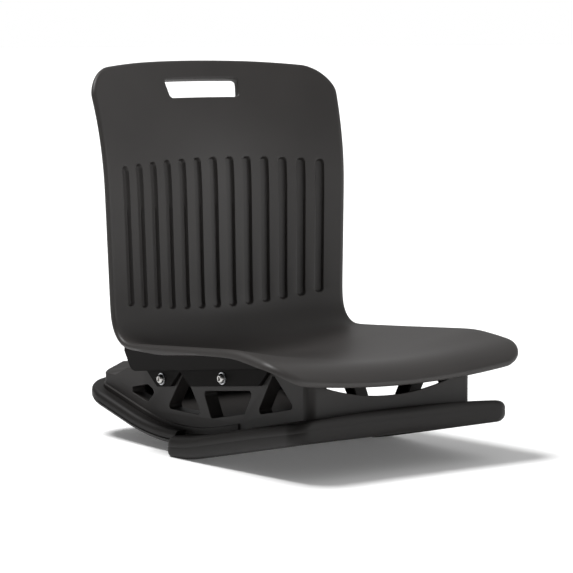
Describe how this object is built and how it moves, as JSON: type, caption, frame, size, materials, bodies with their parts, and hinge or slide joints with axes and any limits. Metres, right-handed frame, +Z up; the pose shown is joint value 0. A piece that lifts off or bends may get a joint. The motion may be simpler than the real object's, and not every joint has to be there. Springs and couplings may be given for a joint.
{
  "type": "floor rocking chair",
  "caption": "Legless floor rocking chair: a moulded seat shell with a fluted, slotted back, bolted through side brackets to a curved rocker base with a round rim.",
  "frame": {"origin": "middle of the chair's plan, on the floor it stands on", "axes": "+Z up, -Y to the sitter's front, +X to the sitter's left"},
  "size_m": [0.4354, 0.576, 0.55],
  "materials": {
    "shell_plastic": "fine-textured satin charcoal",
    "base_plastic": "fine-textured satin charcoal",
    "runner_plastic": "satin charcoal",
    "bracket_plastic": "fine-textured matt charcoal",
    "bright_steel": "bright nickel-plated",
    "plated_steel": "zinc-plated",
    "insert_brass": "knurled brass"
  },
  "bodies": {
    "root": {"seat_shell": "shell_plastic", "rocker_base": "base_plastic", "front_runner": "runner_plastic", "rear_runner": "runner_plastic", "left_seat_bracket": "bracket_plastic", "right_seat_bracket": "bracket_plastic", "bracket_bolts": "bright_steel", "bolt_washers": "bright_steel", "bolt_sleeves": "plated_steel", "bolt_nuts": "plated_steel", "shell_inserts": "insert_brass", "shell_screws": "plated_steel", "front_runner_screws": "plated_steel", "rear_runner_screws": "plated_steel"}
  },
  "joints": []
}
